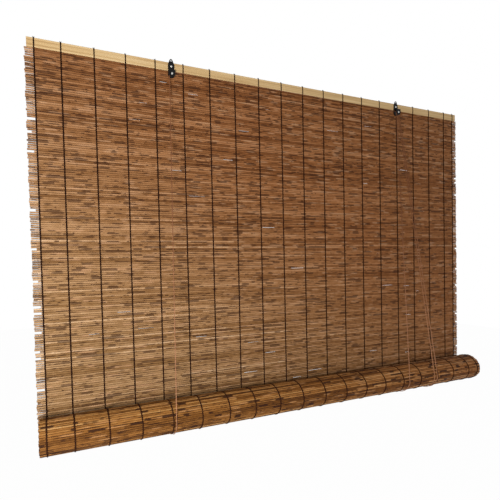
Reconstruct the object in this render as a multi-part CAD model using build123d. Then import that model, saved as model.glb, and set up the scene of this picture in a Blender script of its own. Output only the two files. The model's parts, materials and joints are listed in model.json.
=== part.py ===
from build123d import *
import os
import random
from math import acos, atan2, cos, degrees, hypot, pi, sin

# Frame, in millimetres: the origin is midway between the two hanging holes,
# X runs to the right, the front faces -Y and Z is up
hook_half_spacing = 553.0
mat_centre_x = -37.0
mat_width = 2000.0

# Top and bottom battens, of the same pine lath
batten_height = 30.0
batten_thickness = 8.0
batten_drop = 6.0

# Reed mat: each reed is one ridge of the wall
reed_pitch = 7.0
reed_count = 177
reed_thickness = 4.8
ridge_depth = 1.2
slit_count = 30
slit_height = 2.2
slit_length_range = (24.0, 70.0)
notches_per_edge = 12
notch_depth_range = (4.0, 13.0)

# Binding strings
string_width = 3.6
string_thickness = 0.7
string_margin = 22.0
left_end_gap = 82.0
right_end_gap = 62.0
inner_string_count = 18

# Roll: an arc spiral that loses one quarter of its pitch every quarter turn
roll_radius = 60.0
roll_pitch = 6.4
roll_quarters = 24
ridged_quarters = 4
roll_clearance = 0.5
bottom_batten_seat = 10.0

# Brackets of black sheet steel
sheet = 2.0
ear_radius = 6.0
hanging_hole_radius = 2.5
bracket_width = 24.0
shoulder_drop = 14.0
bridge_drop = 34.0
bend_radius = 3.0
single_depth = 11.0
double_depth = 17.0
screw_drop = 21.0
screw_radius = 1.75
screw_hole_radius = 2.1
screw_length = 9.0
screw_head_radius = 3.8
screw_head_height = 2.2

# Sheaves and their axles
axle_drop = 50.0
axle_radius = 2.0
axle_head_radius = 3.8
axle_head_height = 1.6
axle_tail_radius = 3.4
axle_tail_height = 0.8
sheave_bore = 2.1
sheave_radius = 9.5
sheave_root = 6.2
sheave_width = 5.6
groove_root_half = 1.7
groove_rim_half = 2.2
back_sheave_y = -5.4
front_sheave_y = -11.6

# Cords
cord_radius = 1.5
cord_sides = 6
cord_wrap_radius = 8.0
cord_gap = 0.3
left_lift_x = -605.0
right_lift_x = 482.0
pull_a_x = 638.0
pull_b_x = 656.0
tail_rise = 60.0
knot_radius = 4.0
knot_sides = 8
knot_overhang = 5.0
knot_chamfer = 1.5

# Screw eyes at the back of the batten
eye_wire = 1.2
eye_ring = 5.0
eye_sides = 12
eye_shank = 1.0
eye_stand = 7.0
eye_embed = 5.0

# Values worked out from the driving dimensions
mat_left = mat_centre_x - mat_width / 2
mat_right = mat_centre_x + mat_width / 2
batten_top = -batten_drop
batten_low = batten_top - batten_height
mat_y = batten_thickness / 2
mat_front = mat_y - reed_thickness / 2
mat_back = mat_y + reed_thickness / 2
mat_low = batten_low - reed_pitch * reed_count
roll_y = mat_back - roll_radius
roll_z = mat_low - roll_clearance
quarter_step = roll_pitch / 4
axle_z = -axle_drop
sling_radius = roll_radius + string_thickness + cord_gap + cord_radius
eye_z = batten_top - batten_height / 2
eye_y = batten_thickness + eye_stand

inner_left = mat_left + string_margin + left_end_gap
inner_right = mat_right - string_margin - right_end_gap
inner_pitch = (inner_right - inner_left) / (inner_string_count - 1)
string_x = [mat_left + string_margin]
string_x += [inner_left + inner_pitch * i for i in range(inner_string_count)]
string_x += [mat_right - string_margin]

parts = {}


def block(x0, x1, y0, y1, z0, z1):
    """A box between two corners."""
    return Pos((x0 + x1) / 2, (y0 + y1) / 2, (z0 + z1) / 2) * Box(x1 - x0, y1 - y0, z1 - z0)


def rod_y(x, z, radius, y0, y1):
    """A cylinder along Y."""
    plane = Plane(origin=(x, y0, z), x_dir=(1, 0, 0), z_dir=(0, 1, 0))
    return extrude(plane * Circle(radius), amount=y1 - y0)


def arc(start, middle, end):
    return Edge.make_three_point_arc(start, middle, end)


def prism_x(edges, x0, x1):
    """A closed outline in a plane across X, drawn at x0 and extruded to x1."""
    return extrude(Face(Wire(edges)), amount=x1 - x0, dir=(1, 0, 0))


def cord_section(origin, along, sideways):
    """A cord's plain six-sided section, across the way it runs."""
    return Plane(origin=origin, x_dir=sideways, z_dir=along) * RegularPolygon(cord_radius, cord_sides)


# Top batten, with pilot holes for the bracket screws and the screw eyes
def top_batten():
    lath = block(mat_left, mat_right, 0, batten_thickness, batten_low, batten_top)
    lath = fillet(lath.edges().filter_by(Axis.X), 1.0)
    for x in (-hook_half_spacing, hook_half_spacing):
        lath -= rod_y(x, -screw_drop, screw_radius, 0, screw_length - sheet)
    for x in (left_lift_x, right_lift_x):
        lath -= rod_y(x, eye_z, eye_shank, batten_thickness - eye_embed, batten_thickness)
    return lath


# Hanging stretch of the mat: ridged on both faces, with slits between reeds and ragged ends
def reed_mat():
    front = []
    back = []
    for i in range(reed_count):
        z = batten_low - reed_pitch * i
        front += [(mat_left, mat_front + ridge_depth, z), (mat_left, mat_front, z - reed_pitch / 2)]
        back += [(mat_left, mat_back - ridge_depth, z), (mat_left, mat_back, z - reed_pitch / 2)]
    front.append((mat_left, mat_front + ridge_depth, mat_low))
    back.append((mat_left, mat_back - ridge_depth, mat_low))
    outline = Wire.make_polygon(front + back[::-1], close=True)
    return prism_x(outline.edges(), mat_left, mat_right) - mat_openings()


def mat_openings():
    """See-through slits between neighbouring reeds, and reed ends that stop short of the edge."""
    pick = random.Random(11)
    cuts = []
    rows = pick.sample(range(3, reed_count - 6), slit_count)
    for row in rows:
        bay = pick.randrange(1, len(string_x) - 2)
        room = string_x[bay + 1] - string_x[bay] - 4 * string_width
        length = min(pick.uniform(*slit_length_range), room)
        x = string_x[bay] + 2 * string_width + pick.uniform(0, room - length)
        z = batten_low - reed_pitch * row
        cuts.append(block(x, x + length, 0, batten_thickness, z - slit_height / 2, z + slit_height / 2))
    for side in (mat_left, mat_right):
        for row in pick.sample(range(2, reed_count - 8, 3), notches_per_edge):
            depth = pick.uniform(*notch_depth_range)
            x0, x1 = (side - 1, side + depth) if side == mat_left else (side - depth, side + 1)
            z = batten_low - reed_pitch * row
            cuts.append(block(x0, x1, 0, batten_thickness, z - reed_pitch, z))
    return cuts


# Binding strings of the hanging mat lie on the crests of the reeds, in front and behind
def mat_strings():
    strips = []
    half = string_width / 2
    top = batten_low - string_thickness
    for x in string_x:
        strips.append(block(x - half, x + half, mat_front - string_thickness, mat_front, mat_low, top))
        strips.append(block(x - half, x + half, mat_back, mat_back + string_thickness, mat_low, top))
    return Compound(children=strips)


# The same strings go round the batten and step in under its edge to the mat.
# A bracket's plate covers the front of the string behind it
def batten_strings():
    loops = []
    half = string_width / 2
    t = string_thickness
    for x in string_x:
        under_plate = abs(abs(x) - hook_half_spacing) < bracket_width / 2 + half
        front = 0 if under_plate else -t
        outer = block(x - half, x + half, front, batten_thickness + t, batten_low - t, batten_top + t)
        lath = block(x - half, x + half, 0, batten_thickness, batten_low, batten_top)
        mouth = block(x - half, x + half, mat_front, mat_back, batten_low - t, batten_low)
        loops.append(outer - lath - mouth)
    return Compound(children=loops)


# Spiral of the roll: winding from the back, down and forwards
def spiral():
    """Centre and outer radius of each quarter turn."""
    quarters = []
    y, z, radius = roll_y, roll_z, roll_radius
    for k in range(roll_quarters):
        quarters.append((y, z, radius))
        turn = (k + 1) * pi / 2
        y += quarter_step * cos(turn)
        z -= quarter_step * sin(turn)
        radius -= quarter_step
    return quarters


def on_spiral(x, quarter, radius, turn):
    """The point at an angle along the winding, given in turns of a radian."""
    y, z, _ = quarter
    return (x, y + radius * cos(turn), z - radius * sin(turn))


def quarter_arc(x, quarter, radius, start, end):
    points = [on_spiral(x, quarter, radius, a) for a in (start, (start + end) / 2, end)]
    return arc(*points)


def reed_roll():
    quarters = spiral()
    outer = []
    inner = []
    for k, quarter in enumerate(quarters):
        radius = quarter[2]
        start, end = k * pi / 2, (k + 1) * pi / 2
        inner.append(quarter_arc(mat_left, quarter, radius - reed_thickness, start, end))
        if k >= ridged_quarters:
            outer.append(quarter_arc(mat_left, quarter, radius, start, end))
            continue
        ridges = round(radius * pi / 2 / reed_pitch)
        step = (end - start) / ridges
        for i in range(ridges):
            a = start + step * i
            valley = radius - ridge_depth
            crest = on_spiral(mat_left, quarter, radius, a + step / 2)
            outer.append(Edge.make_line(on_spiral(mat_left, quarter, valley, a), crest))
            outer.append(Edge.make_line(crest, on_spiral(mat_left, quarter, valley, a + step)))
    first, last = quarters[0], quarters[-1]
    turned = roll_quarters * pi / 2
    ridge_end = ridged_quarters * pi / 2
    after = quarters[ridged_quarters]
    closing = [
        Edge.make_line(on_spiral(mat_left, first, first[2] - reed_thickness, 0),
                       on_spiral(mat_left, first, first[2] - ridge_depth, 0)),
        Edge.make_line(on_spiral(mat_left, after, after[2] - ridge_depth, ridge_end),
                       on_spiral(mat_left, after, after[2], ridge_end)),
        Edge.make_line(on_spiral(mat_left, last, last[2] - reed_thickness, turned),
                       on_spiral(mat_left, last, last[2], turned)),
    ]
    outline = Wire.combine(outer + inner + closing)[0]
    return prism_x(outline.edges(), mat_left, mat_right)


# Bottom batten, lying as a chord in the middle of the roll
def bottom_batten():
    y, z, _ = spiral()[-1]
    low = z - bottom_batten_seat
    lath = block(mat_left, mat_right, y - batten_height / 2, y + batten_height / 2, low, low + batten_thickness)
    return fillet(lath.edges().filter_by(Axis.X), 1.0)


# Bracket: a back plate with a hanging ear, and a cheek bent out in front of the sheaves
def bracket(x, depth):
    front = Plane(origin=(x, 0, 0), x_dir=(1, 0, 0), z_dir=(0, -1, 0))
    ear = Circle(ear_radius)
    shoulders = Pos(0, -shoulder_drop - 2) * Rectangle(bracket_width, 4)
    neck = make_hull(ear.edges() + shoulders.edges())
    body = Pos(0, -(shoulder_drop + axle_drop) / 2) * Rectangle(bracket_width, axle_drop - shoulder_drop)
    foot = Pos(0, axle_z) * Circle(bracket_width / 2)
    plate = extrude(front * (neck + body + foot), amount=sheet)
    lip = Pos(0, -(bridge_drop + axle_drop) / 2) * Rectangle(bracket_width, axle_drop - bridge_drop)
    cheek = extrude(front.offset(depth - sheet) * (lip + foot), amount=sheet)
    half = bracket_width / 2
    bridge = block(x - half, x + half, -depth, 0, -bridge_drop - sheet, -bridge_drop)
    shell = plate + cheek + bridge
    fold = shell.edges().filter_by(Axis.X)
    crest = fold.filter_by(lambda e: abs(e.center().Y + depth) < 0.01 and abs(e.center().Z + bridge_drop) < 0.01)
    root = fold.filter_by(lambda e: abs(e.center().Y + depth - sheet) < 0.01
                          and abs(e.center().Z + bridge_drop + sheet) < 0.01)
    shell = fillet(crest, bend_radius)
    shell = fillet(shell.edges().filter_by(Axis.X).sort_by_distance(root[0].center())[0:1], bend_radius - sheet)
    shell -= rod_y(x, 0, hanging_hole_radius, -sheet, 0)
    shell -= rod_y(x, -screw_drop, screw_hole_radius, -sheet, 0)
    shell -= rod_y(x, axle_z, axle_radius, -depth, 0)
    return shell


# Pan-head screw through the plate into the batten
def bracket_screw(x):
    head = rod_y(x, -screw_drop, screw_head_radius, -sheet - screw_head_height, -sheet)
    rim = head.edges().filter_by(GeomType.CIRCLE).sort_by(Axis.Y)[0]
    head = chamfer(rim, screw_head_height * 0.6)
    return head + rod_y(x, -screw_drop, screw_radius, -sheet, screw_length - sheet)


# Riveted axle across the housing
def axle(x, depth):
    head = rod_y(x, axle_z, axle_head_radius, -depth - axle_head_height, -depth)
    rim = head.edges().filter_by(GeomType.CIRCLE).sort_by(Axis.Y)[0]
    head = chamfer(rim, axle_head_height * 0.6)
    tail = rod_y(x, axle_z, axle_tail_radius, 0, axle_tail_height)
    return head + rod_y(x, axle_z, axle_radius, -depth, 0) + tail


# Grooved sheave, turned about Y
def sheave(x, y):
    half = sheave_width / 2
    profile = Polyline((sheave_bore, -half), (sheave_radius, -half), (sheave_radius, -groove_rim_half),
                       (sheave_root, -groove_root_half), (sheave_root, groove_root_half),
                       (sheave_radius, groove_rim_half), (sheave_radius, half), (sheave_bore, half), close=True)
    section = Plane(origin=(x, y, axle_z), x_dir=(1, 0, 0), z_dir=(0, 0, 1)) * make_face(profile)
    return revolve(section, axis=Axis((x, y, axle_z), (0, 1, 0)))


# Screw eye: a ring across X on a shank driven into the back of the batten
def screw_eye(x):
    across = Plane(origin=(x - eye_wire, eye_y, eye_z), x_dir=(0, 1, 0), z_dir=(1, 0, 0))
    outline = RegularPolygon(eye_ring + eye_wire, eye_sides) - RegularPolygon(eye_ring - eye_wire, eye_sides)
    ring = extrude(across * outline, amount=2 * eye_wire)
    shank = rod_y(x, eye_z, eye_shank, batten_thickness - eye_embed, eye_y - eye_ring)
    return ring + shank


# Cords: the tangent point on the sling circle of a strand that comes down from a sheave
def leaving_angle(y):
    away = hypot(y - roll_y, axle_z - roll_z)
    return atan2(axle_z - roll_z, y - roll_y) + acos(sling_radius / away)


def on_sling(x, angle):
    return Vector(x, roll_y + sling_radius * cos(angle), roll_z + sling_radius * sin(angle))


def strand(start, end):
    """A taut straight stretch, a hair short of what it meets at each end."""
    start, end = Vector(start), Vector(end)
    run = end - start
    along = run.normalized()
    sideways = along.cross(Vector(0, 1, 0))
    return extrude(cord_section(start + along * cord_gap, along, sideways), amount=run.length - 2 * cord_gap)


def front_strand(top_x, y, low_x):
    return strand((top_x, y, axle_z), on_sling(low_x, leaving_angle(y)))


def sling(x, y):
    """Under the roll, from the front to the back of the mat."""
    start = leaving_angle(y)
    section = cord_section(on_sling(x, start), (0, -sin(start), cos(start)), (1, 0, 0))
    return revolve(section, axis=Axis((x, roll_y, roll_z), (1, 0, 0)), revolution_arc=360 - degrees(start))


def back_strand(x):
    return strand(on_sling(x, 0), (x, eye_y, eye_z - eye_ring - eye_wire))


def wrap(x, y, section, turn):
    """A cord's bend over a sheave, from a section at its start."""
    return revolve(section, axis=Axis((x, y, axle_z), (0, 1, 0)), revolution_arc=turn)


def crossing_cord():
    """Up off the left sheave, along under the batten and down off the right one."""
    left, right, y = -hook_half_spacing, hook_half_spacing, back_sheave_y
    top = axle_z + cord_wrap_radius
    rising = wrap(left, y, cord_section((left - cord_wrap_radius, y, axle_z), (0, 0, 1), (1, 0, 0)), 90)
    level = extrude(cord_section((left, y, top), (1, 0, 0), (0, 0, -1)), amount=right - left)
    falling = wrap(right, y, cord_section((right, y, top), (1, 0, 0), (0, 0, -1)), 90)
    return rising + level + falling


def over_sheave():
    x, y = hook_half_spacing, front_sheave_y
    return wrap(x, y, cord_section((x - cord_wrap_radius, y, axle_z), (0, 0, 1), (1, 0, 0)), 180)


def pull_tail(x, y):
    """Under the roll and a short way up behind the mat."""
    return sling(x, y) + extrude(cord_section(on_sling(x, 0), (0, 0, 1), (1, 0, 0)), amount=tail_rise)


def pull_knot():
    """Both pull cords end in one knot, hitched to a binding string behind the mat."""
    length = pull_b_x - pull_a_x + 2 * knot_overhang
    centre = on_sling((pull_a_x + pull_b_x) / 2, 0) + Vector(0, knot_radius - cord_radius, tail_rise + knot_radius)
    across = Plane(origin=centre - Vector(length / 2, 0, 0), x_dir=(0, 1, 0), z_dir=(1, 0, 0))
    barrel = extrude(across * RegularPolygon(knot_radius, knot_sides), amount=length)
    ends = barrel.faces().sort_by(Axis.X)
    return chamfer(ends[0].edges() + ends[-1].edges(), knot_chamfer)


wrap_left = -hook_half_spacing - cord_wrap_radius
wrap_right = hook_half_spacing + cord_wrap_radius
lift_off = hook_half_spacing - cord_wrap_radius

parts["top_batten"] = top_batten()
parts["reed_mat"] = reed_mat()
parts["mat_strings"] = mat_strings()
parts["batten_strings"] = batten_strings()
parts["reed_roll"] = reed_roll()
parts["bottom_batten"] = bottom_batten()
parts["left_bracket"] = bracket(-hook_half_spacing, single_depth)
parts["right_bracket"] = bracket(hook_half_spacing, double_depth)
parts["bracket_screws"] = Compound(children=[bracket_screw(-hook_half_spacing), bracket_screw(hook_half_spacing)])
parts["sheave_axles"] = Compound(children=[axle(-hook_half_spacing, single_depth),
                                           axle(hook_half_spacing, double_depth)])
parts["left_sheave"] = sheave(-hook_half_spacing, back_sheave_y)
parts["right_back_sheave"] = sheave(hook_half_spacing, back_sheave_y)
parts["right_front_sheave"] = sheave(hook_half_spacing, front_sheave_y)
parts["screw_eyes"] = Compound(children=[screw_eye(left_lift_x), screw_eye(right_lift_x)])
parts["crossing_cord"] = crossing_cord()
parts["right_cord_over_sheave"] = over_sheave()
parts["left_lift_cord_front"] = front_strand(wrap_left, back_sheave_y, left_lift_x)
parts["right_lift_cord_front"] = front_strand(lift_off, front_sheave_y, right_lift_x)
parts["pull_cord_a_front"] = front_strand(wrap_right, back_sheave_y, pull_a_x)
parts["pull_cord_b_front"] = front_strand(wrap_right, front_sheave_y, pull_b_x)
parts["lift_cord_slings"] = Compound(children=[sling(left_lift_x, back_sheave_y),
                                               sling(right_lift_x, front_sheave_y)])
parts["left_lift_cord_back"] = back_strand(left_lift_x)
parts["right_lift_cord_back"] = back_strand(right_lift_x)
parts["pull_cord_tails"] = Compound(children=[pull_tail(pull_a_x, back_sheave_y),
                                              pull_tail(pull_b_x, front_sheave_y)])
parts["pull_cord_knot"] = pull_knot()

os.makedirs("parts", exist_ok=True)
for name, solid in parts.items():
    export_step(solid, f"parts/{name}.step")

print("leaving angle of the front strands", round(degrees(leaving_angle(back_sheave_y)), 2))
print("roll axis y, z", round(roll_y, 3), round(roll_z, 3))
print("string pitch", round(inner_pitch, 2))
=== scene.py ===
# %% [markdown]
# A reed roll-up blind hangs from a pine batten. Dark strings bind thin brown reeds into a mat,
# the lower part of the mat is rolled up, and cords hold the roll from two black brackets.
# The solids that carry the size come from the frame, and this lesson dresses them.

# %% Open the frame
import json
import math
import random
import bpy
from mathutils import Matrix, Vector

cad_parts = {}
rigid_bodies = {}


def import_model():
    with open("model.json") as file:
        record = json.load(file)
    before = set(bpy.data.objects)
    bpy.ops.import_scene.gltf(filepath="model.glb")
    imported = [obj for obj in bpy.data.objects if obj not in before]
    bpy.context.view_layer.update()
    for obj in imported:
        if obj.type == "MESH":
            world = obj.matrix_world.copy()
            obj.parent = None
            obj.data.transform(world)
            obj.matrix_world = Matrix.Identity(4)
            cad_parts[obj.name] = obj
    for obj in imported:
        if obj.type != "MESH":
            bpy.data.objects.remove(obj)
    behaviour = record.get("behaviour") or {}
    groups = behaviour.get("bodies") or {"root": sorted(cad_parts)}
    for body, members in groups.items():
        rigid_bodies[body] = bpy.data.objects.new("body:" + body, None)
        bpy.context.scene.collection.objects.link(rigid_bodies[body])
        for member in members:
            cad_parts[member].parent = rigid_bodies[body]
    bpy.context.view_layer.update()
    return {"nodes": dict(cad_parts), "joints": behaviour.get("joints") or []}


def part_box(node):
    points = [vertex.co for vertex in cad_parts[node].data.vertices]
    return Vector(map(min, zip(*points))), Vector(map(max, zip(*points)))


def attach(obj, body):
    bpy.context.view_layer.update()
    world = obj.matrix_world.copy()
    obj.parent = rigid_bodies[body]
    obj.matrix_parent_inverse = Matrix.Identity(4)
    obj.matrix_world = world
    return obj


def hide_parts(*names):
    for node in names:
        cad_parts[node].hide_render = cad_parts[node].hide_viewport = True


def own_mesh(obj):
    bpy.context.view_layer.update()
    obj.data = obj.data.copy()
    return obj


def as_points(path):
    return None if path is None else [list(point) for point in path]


for leftover in list(bpy.data.objects):
    bpy.data.objects.remove(leftover)
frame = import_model()

# %% [markdown]
# Sizes are read from the solids wherever they can be, so the dressing stays on the frame.
# The rest are the reed pitch, the string places and the arc spiral of the roll, in metres.

# %% Sizes shared by the pieces
MM = 0.001
mat_low_corner, mat_high_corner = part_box("reed_mat")
MAT_LEFT, MAT_RIGHT = mat_low_corner.x, mat_high_corner.x
MAT_TOP, MAT_LOW = mat_high_corner.z, mat_low_corner.z
MAT_Y = (mat_low_corner.y + mat_high_corner.y) / 2
REED_PITCH = 7 * MM
REED_COUNT = round((MAT_TOP - MAT_LOW) / REED_PITCH)
REED_WIDTH = 8.3 * MM
REED_DEPTH = 5.4 * MM
BATTEN_LOW, BATTEN_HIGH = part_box("top_batten")
LIFT = next(j for j in frame["joints"] if j["name"] == "roll_lift")["range_m"][1]

STRING_WIDTH = 3.6 * MM
STRING_MARGIN = 22 * MM
LEFT_END_GAP = 82 * MM
RIGHT_END_GAP = 62 * MM
INNER_STRINGS = 18
first_inner = MAT_LEFT + STRING_MARGIN + LEFT_END_GAP
last_inner = MAT_RIGHT - STRING_MARGIN - RIGHT_END_GAP
inner_pitch = (last_inner - first_inner) / (INNER_STRINGS - 1)
STRING_X = [MAT_LEFT + STRING_MARGIN]
STRING_X += [first_inner + inner_pitch * i for i in range(INNER_STRINGS)]
STRING_X += [MAT_RIGHT - STRING_MARGIN]

ROLL_RADIUS = 60 * MM
ROLL_STEP = 1.6 * MM
ROLL_QUARTERS = 24
OUTER_QUARTERS = 4
turn_joint = next(j for j in frame["joints"] if j["name"] == "roll_turn")
ROLL_Y, ROLL_Z = turn_joint["pos_m"][1], turn_joint["pos_m"][2]
print("reeds in the hanging mat", REED_COUNT, "binding strings", len(STRING_X))

# %% [markdown]
# Operators work on what is selected, and the frame leaves its solids selected.
# These helpers clear the selection, select parts of a mesh by their place, and hand a finished
# piece to the body that it moves with.

# %% Small helpers for modelling
def clear_selection():
    if bpy.context.mode != "OBJECT":
        bpy.ops.object.mode_set(mode="OBJECT")
    bpy.ops.object.select_all(action="DESELECT")


# %% Picking parts of a mesh
def unpick(kind):
    """Deselect all of the active piece, ready to pick vertices, edges or faces."""
    bpy.ops.object.mode_set(mode="EDIT")
    bpy.ops.mesh.select_mode(type=kind)
    bpy.ops.mesh.select_all(action="DESELECT")
    bpy.ops.object.mode_set(mode="OBJECT")


def pick_vertices(piece, test):
    unpick("VERT")
    for vertex in piece.data.vertices:
        vertex.select = test(vertex.co)
    bpy.ops.object.mode_set(mode="EDIT")


def pick_edges(piece, test):
    unpick("EDGE")
    spots = piece.data.vertices
    for edge in piece.data.edges:
        a, b = (spots[i].co for i in edge.vertices)
        edge.select = test(a, b)
    bpy.ops.object.mode_set(mode="EDIT")


def pick_faces(piece, test):
    unpick("FACE")
    for face in piece.data.polygons:
        face.select = test(face)
    bpy.ops.object.mode_set(mode="EDIT")


# %% Settling, copying, joining and handing over
def settle():
    """Leave edit mode and put the piece's place into its mesh."""
    if bpy.context.mode != "OBJECT":
        bpy.ops.object.mode_set(mode="OBJECT")
    bpy.ops.object.transform_apply(location=True, rotation=True, scale=True)
    return bpy.context.object


def copied(piece, matrix):
    """A copy with its own mesh, moved inside that mesh."""
    twin = piece.copy()
    twin.data = piece.data.copy()
    twin.data.transform(matrix)
    bpy.context.scene.collection.objects.link(twin)
    return twin


def joined(pieces, name):
    clear_selection()
    for piece in pieces:
        piece.select_set(True)
    bpy.context.view_layer.objects.active = pieces[0]
    bpy.ops.object.join()
    whole = bpy.context.object
    whole.name = name
    return whole


def hand_over(piece, body, slot, material, *nodes):
    """Give a piece its finish and its body, and hide the solids that it replaces. slot is not used."""
    piece.data.materials.clear()
    piece.data.materials.append(material)
    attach(piece, body)
    if nodes:
        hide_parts(*nodes)
    print("made", piece.name, len(piece.data.polygons), "faces")


# %% [markdown]
# Shader maths reads best as plain expressions. A wrapped socket adds a Math node for each
# operator, and one method makes every other node, with its settings first and its sockets after.

# %% A finish is written as expressions
class Shade:
    """A socket that takes part in arithmetic."""

    def __init__(self, finish, socket):
        self.finish = finish
        self.socket = socket

    def math(self, operation, *operands):
        sockets = dict(enumerate(operands))
        return self.finish.node("ShaderNodeMath", {"operation": operation}, sockets)

    def __add__(self, other):
        return self.math("ADD", self, other)

    def __radd__(self, other):
        return self.math("ADD", other, self)

    def __sub__(self, other):
        return self.math("SUBTRACT", self, other)

    def __rsub__(self, other):
        return self.math("SUBTRACT", other, self)

    def __mul__(self, other):
        return self.math("MULTIPLY", self, other)

    def __rmul__(self, other):
        return self.math("MULTIPLY", other, self)

    def between(self, low, high):
        """0 below low, 1 above high, and a smooth step between them."""
        settings = {"interpolation_type": "SMOOTHSTEP"}
        sockets = {0: self, 1: low, 2: high, 3: 0.0, 4: 1.0}
        return self.finish.node("ShaderNodeMapRange", settings, sockets)

    def larger(self, other):
        return self.math("MAXIMUM", self, other)


# %% One method makes the nodes
class Tree:
    """Nodes of a material or a world, made by one method."""

    def __init__(self, tree):
        self.tree = tree

    def node(self, kind, settings=None, sockets=None, output=0):
        made = self.tree.nodes.new(kind)
        for key, value in (settings or {}).items():
            if key == "stops":
                ramp = made.color_ramp.elements
                while len(ramp) < len(value):
                    ramp.new(0.5)
                for stop, (place, colour) in zip(ramp, value):
                    stop.position = place
                    stop.color = colour
            else:
                setattr(made, key, value)
        for key, value in (sockets or {}).items():
            self.feed(made.inputs[key], value)
        return Shade(self, made.outputs[output])

    def feed(self, socket, value):
        if isinstance(value, Shade):
            self.tree.links.new(value.socket, socket)
        else:
            socket.default_value = value

    def seen(self):
        """1 for what the camera sees, directly, in a mirror or through glass."""
        camera, glossy, through = (self.node("ShaderNodeLightPath", output=f"Is {ray} Ray")
                                   for ray in ("Camera", "Glossy", "Transmission"))
        return camera.larger(glossy).larger(through)


# %% A finish adds what materials need
class Finish(Tree):
    """A material in the making."""

    def __init__(self, name):
        self.material = bpy.data.materials.new(name)
        self.material.use_nodes = True
        super().__init__(self.material.node_tree)
        self.shader = next(n for n in self.tree.nodes if n.type == "BSDF_PRINCIPLED")

    def set(self, **values):
        """Feed the shader's own sockets, named with underscores for spaces."""
        for key, value in values.items():
            self.feed(self.shader.inputs[key.replace("_", " ")], value)
        return self.material

    def mixed(self, amount, first, second):
        settings = {"data_type": "RGBA"}
        return self.node("ShaderNodeMix", settings, {0: amount, 6: first, 7: second}, output=2)

    def place(self):
        """X, Y and Z of the piece, in metres."""
        spot = self.node("ShaderNodeTexCoord", output="Object")
        return [self.node("ShaderNodeSeparateXYZ", None, {0: spot}, output=i) for i in range(3)]

    def attribute(self, name):
        return self.node("ShaderNodeAttribute", {"attribute_name": name}, output="Fac")

    def noise(self, x, y, z, detail=2.0):
        spot = self.node("ShaderNodeCombineXYZ", None, {0: x, 1: y, 2: z})
        return self.node("ShaderNodeTexNoise", None, {"Vector": spot, "Scale": 1.0, "Detail": detail})


# %% Colours as they look on screen
def srgb(red, green, blue):
    """A colour as it looks on screen, from 0 to 255, as the linear values that shaders take."""
    def linear(level):
        share = level / 255
        return share / 12.92 if share <= 0.04045 else ((share + 0.055) / 1.055) ** 2.4
    return (linear(red), linear(green), linear(blue), 1.0)


# %% [markdown]
# Every reed has its own tone and knows its course, as numbers on its vertices, and a third number
# runs across it, from -1 on its upper side to 1 on its lower one. Along the course a noise drifts
# between tan and brown. Thin dark dashes are split skin and dark nodes, drawn on the lower side
# only, where they are also painted shadow under each reed, and short stretches are stained all round.
# The line between two reeds is darkened with painted shade where they part, and pale streaks are
# dry skin. The course number is the second axis of each noise, so no two reeds have the same marks.
# Towards the lower left the mat turns lighter and greyer, partly weathered and partly painted light
# from the key lamp.

# %% Reed finish
def reed_finish(name, fresh, faded_and_lit, mark_and_shade_colour, streak_colour, gap_shade_amount, stained):
    """fresh and faded are colour stops; faded is lighter and greyer, for the lower left, partly
    weathering and partly painted light. parted says how dark the painted shade in the lines between
    reeds gets, and stained how dark the stained stretches get."""
    finish = Finish(name)
    x, _, z = finish.place()
    tone = finish.attribute("reed_tone")
    row = finish.attribute("reed_row")
    side = finish.attribute("reed_side")

    def marks(per_metre, per_row, layer, detail=1.0):
        """A noise with so many cells along a metre of reed. layer keeps one noise apart from the next."""
        return finish.noise(x * per_metre, row * per_row, layer, detail)

    blotch = marks(7.0, 0.9, layer=3.0, detail=2.0)
    grain = marks(40.0, 1.7, layer=17.0, detail=2.0)
    scar = marks(16.0, 1.3, layer=31.0)
    node = marks(42.0, 1.9, layer=83.0)
    skin = marks(12.0, 1.15, layer=47.0)
    gap_shade_noise = marks(6.0, 2.1, layer=61.0)
    stain = marks(12.0, 1.37, layer=97.0)
    fibre = finish.noise(x * 25.0, row * 7.3 + side * 3.0, 71.0)
    level = tone + (blotch - 0.5) * 0.3 + (grain - 0.5) * 0.45 + (fibre - 0.5) * 0.3
    brown = finish.node("ShaderNodeValToRGB", {"stops": fresh}, {0: level})
    bleached_and_lit_colour = finish.node("ShaderNodeValToRGB", {"stops": faded_and_lit}, {0: level})
    # Lighter, greyer stops towards the lower left: partly weathering, partly painted light from the key
    # lamp.
    bleached_and_lit = (z * -0.7 + x * -0.45).between(0.2, 1.2)
    ground = finish.mixed(bleached_and_lit, brown, bleached_and_lit_colour)
    dry = skin.between(0.58, 0.68)
    streaked = finish.mixed(dry * 0.5, ground, streak_colour)
    # Scars and dark nodes are kept to the lower side of each reed, where they also stand for painted
    # shadow under it.
    lower = side.between(-0.1, 0.45)
    scarred_side = scar.between(0.56, 0.62)
    scar_and_shadow_dash = scarred_side.larger(node.between(0.62, 0.68)) * lower * 0.8
    dark = scar_and_shadow_dash.larger(stain.between(0.61, 0.65) * stained)
    scarred_and_shaded = finish.mixed(dark, streaked, mark_and_shade_colour)
    # Painted shade in the line between two reeds, where they part, in patches along the course.
    edge = side.math("ABSOLUTE", side)
    gap_shade = edge.between(0.4, 0.8) * gap_shade_noise.between(0.35, 0.6) * gap_shade_amount
    colour = finish.mixed(gap_shade, scarred_and_shaded, mark_and_shade_colour)
    bump = finish.node("ShaderNodeBump", None, {"Strength": 0.35, "Distance": 0.0004, "Height": fibre})
    finish.set(Specular_IOR_Level=0.15)
    return finish.set(Base_Color=colour, Roughness=0.72 - dry * 0.2, Normal=bump)


# %% Reeds on the mat and on the roll
mat_fresh = [(0.0, srgb(82, 42, 11)), (0.35, srgb(120, 72, 35)), (0.55, srgb(147, 96, 56)),
             (0.75, srgb(162, 112, 73)), (1.0, srgb(192, 147, 107))]
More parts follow.
